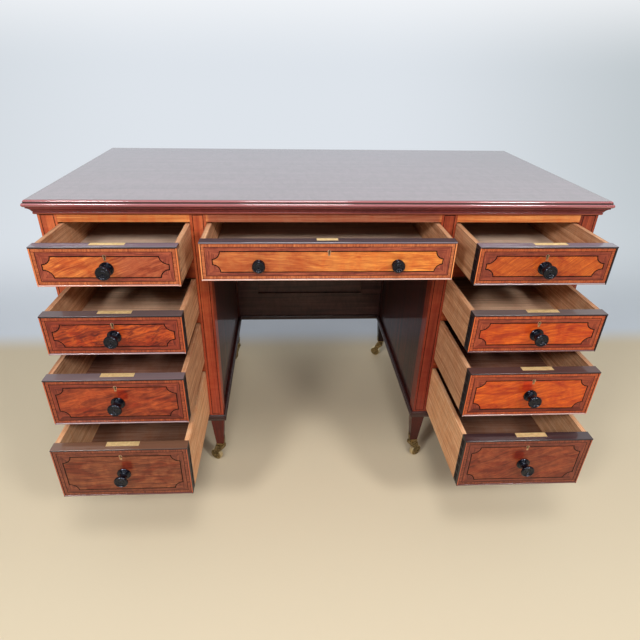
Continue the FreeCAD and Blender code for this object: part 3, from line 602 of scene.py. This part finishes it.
def facing(tree, axis):
    """How much a face looks along an axis, either way."""
    normal = add_node(tree, "TexCoord").outputs["Normal"]
    part = add_node(tree, "SeparateXYZ", {"Vector": normal}).outputs[axis]
    return work_out(tree, "ABSOLUTE", part)


def both(first, second):
    """A mask where two masks are both 1."""
    return lambda tree: work_out(tree, "MULTIPLY", first(tree), second(tree))


def looks_along(axis):
    """A mask over the faces square to an axis, and half of the roundings beside them."""
    return lambda tree: spread(tree, facing(tree, axis), 0.62, 0.78)


def upright_faces(tree):
    """1 on the faces that don't look up or down."""
    return work_out(tree, "SUBTRACT", 1.0, lying_flat(tree))


for order, drawer in enumerate(drawers):
    low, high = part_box(f"{drawer}_front")
    bead_line = bead_width * bead_line_share
    board = timber(
        f"{drawer}_board", *board_colours, "X", *board_figure,
        polish=top_polish[drawer[-1]], seed=20.0 + order, edge_shade=0.2)
    shader_of(board).inputs["Coat IOR"].default_value = 1.7
    proud = along("Y", low.y + bead_projection + bead_blend, low.y + bead_projection)
    foot = along("Z", low.z + bead_line, low.z + bead_width)
    head = along("Z", high.z - bead_line, high.z - bead_width)
    stain(board, proud, bead_tones[drawer])
    stain(board, both(proud, foot), foot_bead_painted_reflections[drawer])
    if drawer not in bare_sided:
        stain(board, looks_along("X"), bead_black)
        flank = both(looks_along("X"), along("Y", high.y + flank_blend, high.y))
        stain(linings[drawer], flank, bead_black)
    if drawer in black_beaded:
        stain(board, along("X", high.x - bead_line, high.x - bead_width), bead_black)
    stain(board, head, centre_head_painted_highlight if drawer == "centre_drawer" else bead_black)
    stain(board, both(head, looks_along("Z")), top_blacks_worn_and_reflecting[drawer])
    polish_less(board, upright_faces, face_polish_share)
    dress(f"{drawer}_front", board)


# Each front is veneered: a band of satinwood round the edge, its grain running across it, then a
# margin of mahogany and a lighter panel with hollow corners. Dark strings divide them.
veneer_thickness = 0.3 * mm
bead_string = 0.9 * mm
band_width = 5.6 * mm
band_string = 1.1 * mm
panel_string = 2.2 * mm
margin_above = 18.5 * mm
margin_below = 17.5 * mm
margin_ends = 17.5 * mm
centre_margin_ends = 23.4 * mm
scoop_width = 18.0 * mm
scoop_height = 16.5 * mm
centre_scoop_width = 15.5 * mm
arc_steps = 10
keyhole_drop = 19.5 * mm
keyhole_radius = 2.6 * mm
keyhole_slot_width = 2.8 * mm
keyhole_slot_length = 8.5 * mm
keyhole_steps = 24
cutter_overrun = 1 * mm
cutter_depth = 3 * mm
escutcheon_wall = 1.0 * mm


def add_slab(shape, outline, face_y, thickness, slot=0):
    """A closed flat piece through the outline's points (x, z), standing on a face."""
    rear = [shape.verts.new((x, face_y, z)) for x, z in outline]
    fore = [shape.verts.new((x, face_y - thickness, z)) for x, z in outline]
    faces = [shape.faces.new(fore), shape.faces.new(rear[::-1])]
    for index in range(len(outline)):
        after = (index + 1) % len(outline)
        faces.append(shape.faces.new((fore[index], rear[index], rear[after], fore[after])))
    for face in faces:
        face.material_index = slot


def add_ring(shape, outer, inner, face_y, thickness, slot=0):
    """A closed flat ribbon between two outlines with as many points."""
    count = len(outer)
    corners = []
    for outline in (outer, inner):
        corners.append([shape.verts.new((x, face_y - thickness, z)) for x, z in outline])
        corners.append([shape.verts.new((x, face_y, z)) for x, z in outline])
    outer_fore, outer_rear, inner_fore, inner_rear = corners
    corners = [outer_fore, inner_fore, inner_rear, outer_rear]
    for first, second in zip(corners, corners[1:] + corners[:1]):
        for index in range(count):
            after = (index + 1) % count
            face = shape.faces.new((first[index], second[index], second[after], first[after]))
            face.material_index = slot


def made_piece(name, shape, materials, body, smooth=False):
    """Turns a bmesh into a named piece that rides on a body and takes a slot's finish."""
    bmesh.ops.recalc_face_normals(shape, faces=shape.faces)
    for face in shape.faces:
        face.smooth = smooth
    mesh = bpy.data.meshes.new(name)
    shape.to_mesh(mesh)
    shape.free()
    for material in materials:
        mesh.materials.append(material)
    piece = bpy.data.objects.new(name, mesh)
    bpy.context.scene.collection.objects.link(piece)
    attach(piece, body)
    return piece


def rectangle(low, high, inset):
    """The corners of a drawer's face, drawn in by an inset, from the lower left one round."""
    x0, x1 = low.x + inset, high.x - inset
    z0, z1 = low.z + inset, high.z - inset
    return [(x0, z0), (x1, z0), (x1, z1), (x0, z1)]


def scooped_corners(corners, width, height, inset):
    """For each corner of a panel, a hollow quarter round from its level edge to its upright one."""
    centre_x = sum(x for x, z in corners) / len(corners)
    centre_z = sum(z for x, z in corners) / len(corners)
    wide = width + inset
    high = height + inset
    start = math.asin(inset / high)
    end = math.acos(inset / wide)
    arcs = []
    for x, z in corners:
        inward_x = math.copysign(wide, centre_x - x)
        inward_z = math.copysign(high, centre_z - z)
        turns = [start + (end - start) * step / arc_steps for step in range(arc_steps + 1)]
        arcs.append([(x + inward_x * math.cos(turn), z + inward_z * math.sin(turn)) for turn in turns])
    return arcs


def round_the_panel(arcs):
    """One closed outline through the four corner arcs."""
    lower_left, lower_right, upper_right, upper_left = arcs
    return lower_left[::-1] + lower_right + upper_right[::-1] + upper_left


def keyhole_outline(x, z, grow):
    """A keyhole's outline, round above a slot."""
    radius = keyhole_radius + grow
    half_slot = keyhole_slot_width / 2 + grow
    foot = z - keyhole_slot_length - grow
    start = math.asin(half_slot / radius)
    sweep = 2 * math.pi - 2 * start
    turns = [start + sweep * step / keyhole_steps for step in range(keyhole_steps + 1)]
    loop = [(x + radius * math.sin(turn), z - radius * math.cos(turn)) for turn in turns]
    return loop + [(x - half_slot, foot), (x + half_slot, foot)]


def cut_keyhole(piece, cutter):
    """Cuts the keyhole through a veneer."""
    cut = piece.modifiers.new("keyhole", "BOOLEAN")
    cut.operation = "DIFFERENCE"
    cut.solver = "EXACT"
    cut.object = cutter
    bpy.context.view_layer.update()
    solved = piece.evaluated_get(bpy.context.evaluated_depsgraph_get())
    mesh = bpy.data.meshes.new_from_object(solved)
    piece.modifiers.remove(cut)
    piece.data = mesh


# The leaf of veneer that each drawer's panel and margin are cut from
leaf_of = {
    "left_drawer_1": "golden", "left_drawer_2": "fiery", "left_drawer_3": "red", "left_drawer_4": "dun",
    "right_drawer_1": "amber", "right_drawer_2": "orange", "right_drawer_3": "orange",
    "right_drawer_4": "brown", "centre_drawer": "honey",
}
band_figure = 30 * mm, 4 * mm
margin_rail_figure = 70 * mm, 5 * mm
margin_stile_figure = 50 * mm, 5 * mm
leaf_mark_length = 85 * mm
# The dark and light of each panel, then of its margin
leaf_tones = {
    "golden": (tone(172, 80, 34), tone(236, 146, 68), tone(128, 50, 36), tone(176, 86, 56)),
    "honey": (tone(192, 102, 40), tone(252, 174, 76), tone(128, 52, 38), tone(178, 90, 58)),
    "amber": (tone(154, 62, 16), tone(220, 116, 34), tone(116, 42, 28), tone(160, 72, 44)),
    "orange": (tone(176, 64, 8), tone(230, 112, 20), tone(124, 44, 26), tone(172, 78, 42)),
    "fiery": (tone(118, 32, 12), tone(216, 98, 30), tone(120, 38, 24), tone(166, 68, 36)),
    "red": (tone(122, 42, 16), tone(196, 88, 36), tone(112, 40, 26), tone(156, 66, 38)),
    "brown": (tone(108, 42, 20), tone(174, 84, 44), tone(104, 44, 30), tone(144, 68, 44)),
    "dun": (tone(108, 50, 28), tone(168, 94, 54), tone(106, 48, 32), tone(146, 76, 48)),
}
# The dark and light of the band that goes with each leaf
band_tones = {
    "golden": (tone(158, 78, 44), tone(208, 120, 68)), "honey": (tone(160, 82, 46), tone(212, 126, 74)),
    "amber": (tone(150, 66, 34), tone(198, 104, 52)),
    "orange": (tone(154, 62, 32), tone(202, 100, 48)), "fiery": (tone(138, 56, 32), tone(186, 92, 50)),
    "red": (tone(130, 54, 32), tone(178, 88, 48)), "brown": (tone(112, 50, 34), tone(154, 76, 48)),
    "dun": (tone(116, 56, 38), tone(158, 84, 54)),
}
# How the grain of each panel rises, in degrees, how far it wanders, how wide its marks are, and
# how softly they fade into each other
figure_of = {
    "left_drawer_1": (22, 12 * mm, 8 * mm, 0.17), "left_drawer_2": (12, 34 * mm, 8 * mm, 0.12),
    "left_drawer_3": (14, 20 * mm, 12 * mm, 0.15), "left_drawer_4": (3, 8 * mm, 7 * mm, 0.17),
    "right_drawer_1": (40, 8 * mm, 4 * mm, 0.25), "right_drawer_2": (8, 14 * mm, 8 * mm, 0.2),
    "right_drawer_3": (20, 14 * mm, 10 * mm, 0.22), "right_drawer_4": (26, 14 * mm, 12 * mm, 0.22),
    "centre_drawer": (-2, 6 * mm, 6 * mm, 0.24),
}
# Where old red polish was left beside a knob, from the panel's middle and its top edge
red_patches = {
    "left_drawer_3": (12 * mm, 19 * mm), "left_drawer_4": (10 * mm, 27 * mm),
    "right_drawer_3": (-11 * mm, 14 * mm), "right_drawer_4": (-14 * mm, 24 * mm),
}
patch_width = 16 * mm
patch_height = 19 * mm
patch_blend = 4 * mm
patch_red = tone(238, 172, 148)
cloud_length = 90 * mm
cloud_width = 34 * mm
cloud_shade = tone(214, 168, 146)
light_cloud = tone(232, 202, 184)
pale_leaves = ["golden", "honey"]
# Where a panel darkens from one place to another along the front, and the front's shaded foot
end_shades = {
    "left_drawer_1": (-20 * mm, 40 * mm, tone(206, 190, 246)),
    "centre_drawer": (200 * mm, -180 * mm, tone(214, 200, 246)),
}
foot_shade_from = 24 * mm
foot_shade_full = 18 * mm
foot_shades = {
    "left_drawer_3": tone(216, 208, 212), "right_drawer_3": tone(190, 156, 160),
    "right_drawer_2": tone(244, 210, 204),
}


def clouded(seed):
    """A mask of broad darker clouds in a veneer."""
    def mask(tree):
        place = add_node(tree, "TexCoord").outputs["Object"]
        clouds = streaks(tree, place, "X", cloud_length, cloud_width, 1.4, seed)
        return spread(tree, clouds, 0.47, 0.62)
    return mask


black_string = ebonised("black_string", tone(18, 8, 8), 0.4, gloss=0.0, wear_share=0.2)
shader_of(black_string).inputs["Specular IOR Level"].default_value = 0.1

for order, drawer in enumerate(drawers):
    low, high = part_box(f"{drawer}_front")
    face_y = low.y + bead_projection
    centre = drawer == "centre_drawer"
    ends = centre_margin_ends if centre else margin_ends
    scoop = centre_scoop_width if centre else scoop_width
    panel_dark, panel_light, margin_dark, margin_light = leaf_tones[leaf_of[drawer]]
    seed = 30.0 + 3.7 * order

    edge = rectangle(low, high, bead_width)
    outer = rectangle(low, high, bead_width + bead_string)
    inner = rectangle(low, high, bead_width + bead_string + band_width)
    bands = bmesh.new()
    for index in range(4):
        after = (index + 1) % 4
        outline = [outer[index], outer[after], inner[after], inner[index]]
        add_slab(bands, outline, face_y, veneer_thickness, index % 2)
    bright = band_tones[leaf_of[drawer]]
    upright_grain = timber(f"{drawer}_band_rails", *bright, "Z", *band_figure, seed=seed, edge_shade=0)
    level_grain = timber(f"{drawer}_band_stiles", *bright, "X", *band_figure, seed=seed, edge_shade=0)
    made_piece(f"{drawer}_crossbanding", bands, [upright_grain, level_grain], drawer)

    margin_outer = rectangle(low, high, bead_width + bead_string + band_width + band_string)
    panel_corners = [
        (low.x + ends, low.z + margin_below), (high.x - ends, low.z + margin_below),
        (high.x - ends, high.z - margin_above), (low.x + ends, high.z - margin_above)]
    arcs = scooped_corners(panel_corners, scoop, scoop_height, 0.0)
    half = arc_steps // 2
    level_grain = timber(
        f"{drawer}_margin_rails", margin_dark, margin_light, "X", *margin_rail_figure, 1.0,
        seed=seed, edge_shade=0, contrast=0.11)
    upright_grain = timber(
        f"{drawer}_margin_stiles", margin_dark, margin_light, "Z", *margin_stile_figure, 1.0,
        seed=seed, edge_shade=0, contrast=0.11)
    if drawer in foot_shades:
        shaded_foot = along("Z", low.z + foot_shade_from, low.z + foot_shade_full)
        stain(level_grain, shaded_foot, foot_shades[drawer], "MULTIPLY")
    margins = []
    for index, side in enumerate(("foot", "right", "head", "left")):
        after = (index + 1) % 4
        level = index % 2 == 0
        first = arcs[index][:half + 1] if level else arcs[index][half:][::-1]
        second = arcs[after][:half + 1][::-1] if level else arcs[after][half:]
        outline = [margin_outer[index], margin_outer[after]] + second + first
        shape = bmesh.new()
        add_slab(shape, outline, face_y, veneer_thickness)
        grain = level_grain if level else upright_grain
        margins.append(made_piece(f"{drawer}_margin_{side}", shape, [grain], drawer))

    line = bmesh.new()
    add_ring(line, edge, outer, face_y, veneer_thickness)
    add_ring(line, inner, margin_outer, face_y, veneer_thickness)
    made_piece(f"{drawer}_edge_strings", line, [black_string], drawer)
    inside = scooped_corners(panel_corners, scoop, scoop_height, panel_string)
    line = bmesh.new()
    add_ring(line, round_the_panel(arcs), round_the_panel(inside), face_y, veneer_thickness)
    stringing = made_piece(f"{drawer}_panel_string", line, [black_string], drawer)

    leaf = bmesh.new()
    add_slab(leaf, round_the_panel(inside), face_y, veneer_thickness)
    slope, swirl, mark, softness = figure_of[drawer]
    leaf_wood = timber(
        f"{drawer}_leaf", panel_dark, panel_light, "X", leaf_mark_length, mark, wander=1.2, seed=seed,
        slope=slope, swirl=swirl, edge_shade=0, contrast=softness)
    cloud = light_cloud if leaf_of[drawer] in pale_leaves else cloud_shade
    stain(leaf_wood, clouded(seed + 11.0), cloud, "MULTIPLY")
    middle_x = (low.x + high.x) / 2
    if drawer in end_shades:
        start, end, shade = end_shades[drawer]
        stain(leaf_wood, along("X", middle_x + start, middle_x + end), shade, "MULTIPLY")
    if drawer in red_patches:
        across, down = red_patches[drawer]
        patch_x = middle_x + across
        patch_z = high.z - margin_above - down
        wide = between("X", patch_x - patch_width / 2, patch_x + patch_width / 2, patch_blend)
        tall = between("Z", patch_z - patch_height / 2, patch_z + patch_height / 2, patch_blend)
        stain(leaf_wood, both(wide, tall), patch_red, "MULTIPLY")
    panel = made_piece(f"{drawer}_panel", leaf, [leaf_wood], drawer)

    keyhole = keyhole_outline(middle_x, high.z - keyhole_drop, escutcheon_wall)
    tool = bmesh.new()
    add_slab(tool, keyhole, face_y + cutter_overrun, cutter_depth)
    bmesh.ops.recalc_face_normals(tool, faces=tool.faces)
    tool_mesh = bpy.data.meshes.new("keyhole_tool")
    tool.to_mesh(tool_mesh)
    tool.free()
    cutter = bpy.data.objects.new("keyhole_tool", tool_mesh)
    bpy.context.scene.collection.objects.link(cutter)
    head_margin = margins[2]
    for veneer in (head_margin, stringing, panel):
        cut_keyhole(veneer, cutter)
    bpy.data.objects.remove(cutter)


# The strings of the front posts are thin lines of black wood let in near the two edges of each
# post's face, from the base moulding up to the cornice.
string_width = 1.4 * mm
string_inset = 5.5 * mm
string_proud = 0.15 * mm
string_head_drop = 3.5 * mm
post_gap = 0.8 * mm
left_low, left_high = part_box("left_drawer_1_front")
right_low, right_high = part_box("right_drawer_1_front")
centre_low, centre_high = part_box("centre_drawer_front")
post_faces = [
    (posts_low.x, left_low.x - post_gap), (left_high.x + post_gap, centre_low.x - post_gap),
    (centre_high.x + post_gap, right_low.x - post_gap), (right_high.x + post_gap, posts_high.x)]
lines = bmesh.new()
foot = base_high.z + string_inset
head = cornice_low.z - string_head_drop
for left_edge, right_edge in post_faces:
    for edge in (left_edge + string_inset, right_edge - string_inset - string_width):
        outline = [(edge, foot), (edge + string_width, foot), (edge + string_width, head), (edge, head)]
        add_slab(lines, outline, posts_low.y, string_proud)
    for low_z in (foot - string_width, head):
        left, right = left_edge + string_inset, right_edge - string_inset
        high_z = low_z + string_width
        level = [(left, low_z), (right, low_z), (right, high_z), (left, high_z)]
        add_slab(lines, level, posts_low.y, string_proud)
made_piece("post_stringing", lines, [black_string], "desk")


# Each lock is brass, let into the front from behind, with its edge plate flush in the top edge.
# The keyhole has a thin brass lining driven in from the face.
escutcheon_proud = 0.25 * mm
brushing_size = 14 * mm, 0.5 * mm
tarnish_size = 9 * mm, 6 * mm


def brass(name, bright, dull, roughness, metal=1.0):
    """Brass with a dull skin in patches. Under a full metal share, old lacquer clouds it."""
    material = bpy.data.materials.new(name)
    material.use_nodes = True
    tree = material.node_tree
    place = add_node(tree, "TexCoord").outputs["Object"]
    brushing = streaks(tree, place, "X", *brushing_size, 0.2, 3.0)
    patches = streaks(tree, place, "X", *tarnish_size, 0.8, 8.0)
    shader = shader_of(material)
    colour = tint(tree, "MIX", spread(tree, patches, 0.40, 0.66), bright, dull)
    tree.links.new(colour, shader.inputs["Base Color"])
    shader.inputs["Metallic"].default_value = metal
    level = spread(tree, brushing, 0.3, 0.7, roughness, roughness + 0.16)
    tree.links.new(level, shader.inputs["Roughness"])
    bump = add_node(tree, "Bump", {"Height": brushing, "Strength": 0.2, "Distance": 0.1 * mm})
    tree.links.new(bump.outputs["Normal"], shader.inputs["Normal"])
    return material


lock_brass = brass("lock_brass", tone(244, 214, 154), tone(222, 190, 132), 0.5, metal=0.6)
escutcheon_brass = brass("escutcheon_brass", tone(216, 180, 160), tone(156, 116, 100), 0.35)
for drawer in drawers:
    dress(f"{drawer}_lock", lock_brass)
    low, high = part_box(f"{drawer}_front")
    keyhole_x = (low.x + high.x) / 2
    keyhole_z = high.z - keyhole_drop
    outside = keyhole_outline(keyhole_x, keyhole_z, escutcheon_wall)
    inside = keyhole_outline(keyhole_x, keyhole_z, 0.0)
    rim = bmesh.new()
    add_ring(rim, outside, inside, low.y + bead_projection, veneer_thickness + escutcheon_proud)
    made_piece(f"{drawer}_escutcheon", rim, [escutcheon_brass], drawer)


# The knobs are turned in ebonised wood: a stepped rose against the front, a waisted neck and a
# dished head. Each is held by a stem glued into the front.
# A step of one point is a straight cut, and a step of two is a round through the first. Each
# point is a radius and a distance from the front, in millimetres.
knob_steps = [
    [(12.6, 0.0)], [(14.4, 1.8), (12.6, 3.6)], [(11.4, 3.6)], [(11.7, 4.4), (11.2, 5.2)], [(9.8, 5.2)],
    [(8.8, 5.9), (9.2, 6.8)], [(8.4, 7.0)], [(6.6, 12.6), (8.6, 18.4)], [(9.4, 18.7)],
    [(9.8, 19.3), (9.4, 20.0)], [(11.2, 21.2), (12.9, 21.5)], [(14.4, 24.2), (12.8, 27.0)], [(11.2, 27.0)],
    [(10.6, 26.3)], [(9.6, 26.1), (8.8, 25.5)], [(6.6, 25.4)], [(5.6, 26.1), (4.6, 25.4)], [(2.6, 25.4)],
    [(1.2, 24.9), (0.3, 24.5)]]
centre_knob_steps = [
    [(10.8, 0.0)], [(12.6, 1.8), (10.8, 3.6)], [(10.0, 3.6)], [(10.3, 4.4), (9.8, 5.2)], [(8.4, 5.2)],
    [(7.8, 6.3), (8.6, 7.4)], [(9.6, 7.5)], [(10.6, 8.0), (11.9, 8.1)], [(13.4, 10.8), (11.8, 13.6)],
    [(10.2, 13.6)], [(9.6, 12.9)], [(8.6, 12.7), (7.8, 12.1)], [(6.6, 12.0)], [(5.6, 12.7), (4.6, 12.0)],
    [(2.6, 12.0)], [(1.2, 11.5), (0.3, 11.1)]]
round_steps = 6
turning_steps = 48
crease = math.radians(28)
centre_knob_head = 13.4 * mm
knob_black = ebonised(
    "ebonised_knob", tone(5, 5, 12), 0.06, gloss=0.0, wear_share=0.1, grain_share=0.3)
shader_of(knob_black).inputs["Specular IOR Level"].default_value = 0.42
shader_of(knob_black).inputs["Specular Tint"].default_value = tone(224, 232, 255)


def bent_through(start, middle, end):
    """Points on the circle from start through middle to end."""
    (ax, ay), (bx, by), (cx, cy) = start, middle, end
    turn = 2 * (ax * (by - cy) + bx * (cy - ay) + cx * (ay - by))
    squares = [x * x + y * y for x, y in (start, middle, end)]
    x = (squares[0] * (by - cy) + squares[1] * (cy - ay) + squares[2] * (ay - by)) / turn
    y = (squares[0] * (cx - bx) + squares[1] * (ax - cx) + squares[2] * (bx - ax)) / turn
    radius = math.hypot(ax - x, ay - y)
    first = math.atan2(ay - y, ax - x)
    sweep = math.atan2(cy - y, cx - x) - first
    if sweep * turn < 0:
        sweep += math.copysign(2 * math.pi, turn)
    turns = [first + sweep * step / round_steps for step in range(1, round_steps + 1)]
    return [(x + radius * math.cos(angle), y + radius * math.sin(angle)) for angle in turns]


def turned_knob(name, body, steps, x, face_y, z):
    """Turns one knob from its profile of radius and distance from the front."""
    profile = []
    for step in steps:
        profile += bent_through(profile[-1], *step) if len(step) == 2 else step
    shape = bmesh.new()
    rings = []
    for radius, out in profile:
        ring = []
        for step in range(turning_steps):
            turn = 2 * math.pi * step / turning_steps
            reach = radius * mm
            place = (x + reach * math.cos(turn), face_y - out * mm, z + reach * math.sin(turn))
            ring.append(shape.verts.new(place))
        rings.append(ring)
    for first, second in zip(rings, rings[1:]):
        for step in range(turning_steps):
            after = (step + 1) % turning_steps
            shape.faces.new((first[step], first[after], second[after], second[step]))
    shape.faces.new(rings[-1])
    shape.faces.new(rings[0])
    knob = made_piece(name, shape, [knob_black], body, smooth=True)
    knob.data.set_sharp_from_angle(angle=crease)
    return knob


for drawer in drawers:
    face_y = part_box(f"{drawer}_front")[0].y + bead_projection
    low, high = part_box(f"{drawer}_knobs")
    knob_z = (low.z + high.z) / 2
    if drawer == "centre_drawer":
        left_x, right_x = low.x + centre_knob_head, high.x - centre_knob_head
        left_knob = turned_knob(f"{drawer}_left_knob", drawer, centre_knob_steps, left_x, face_y, knob_z)
        turned_knob(f"{drawer}_right_knob", drawer, centre_knob_steps, right_x, face_y, knob_z)
        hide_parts(f"{drawer}_knobs")
    else:
        knob = turned_knob(f"{drawer}_knob", drawer, knob_steps, (low.x + high.x) / 2, face_y, knob_z)
        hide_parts(f"{drawer}_knobs")


# The castors are brass: a plate and pin under each leg, a horn that swivels on the pin, and a
# solid wheel on its axle.
wheel_worn_from = 16.5 * mm
wheel_worn_blend = 0.6 * mm
castor_finish = tone(178, 156, 112), tone(74, 60, 42), 0.36
tread_brass = tone(226, 208, 166)
aged_brass = brass("aged_brass", *castor_finish)
dress("castor_plates", aged_brass)


def rubbed_tread(middle):
    """A mask over a wheel's tread, which rolling keeps bright."""
    def mask(tree):
        place = add_node(tree, "TexCoord").outputs["Object"]
        apart = add_node(tree, "VectorMath", {0: place, 1: middle}, operation="DISTANCE").outputs["Value"]
        return spread(tree, apart, wheel_worn_from, wheel_worn_from + wheel_worn_blend)
    return mask


for body in frame["bodies"]:
    if body.endswith("_horn"):
        dress(body, aged_brass)
    if body.endswith("_wheel"):
        low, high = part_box(body)
        wheel_brass = brass(f"{body}_brass", *castor_finish)
        stain(wheel_brass, rubbed_tread((low + high) / 2), tread_brass)
        dress(body, wheel_brass)
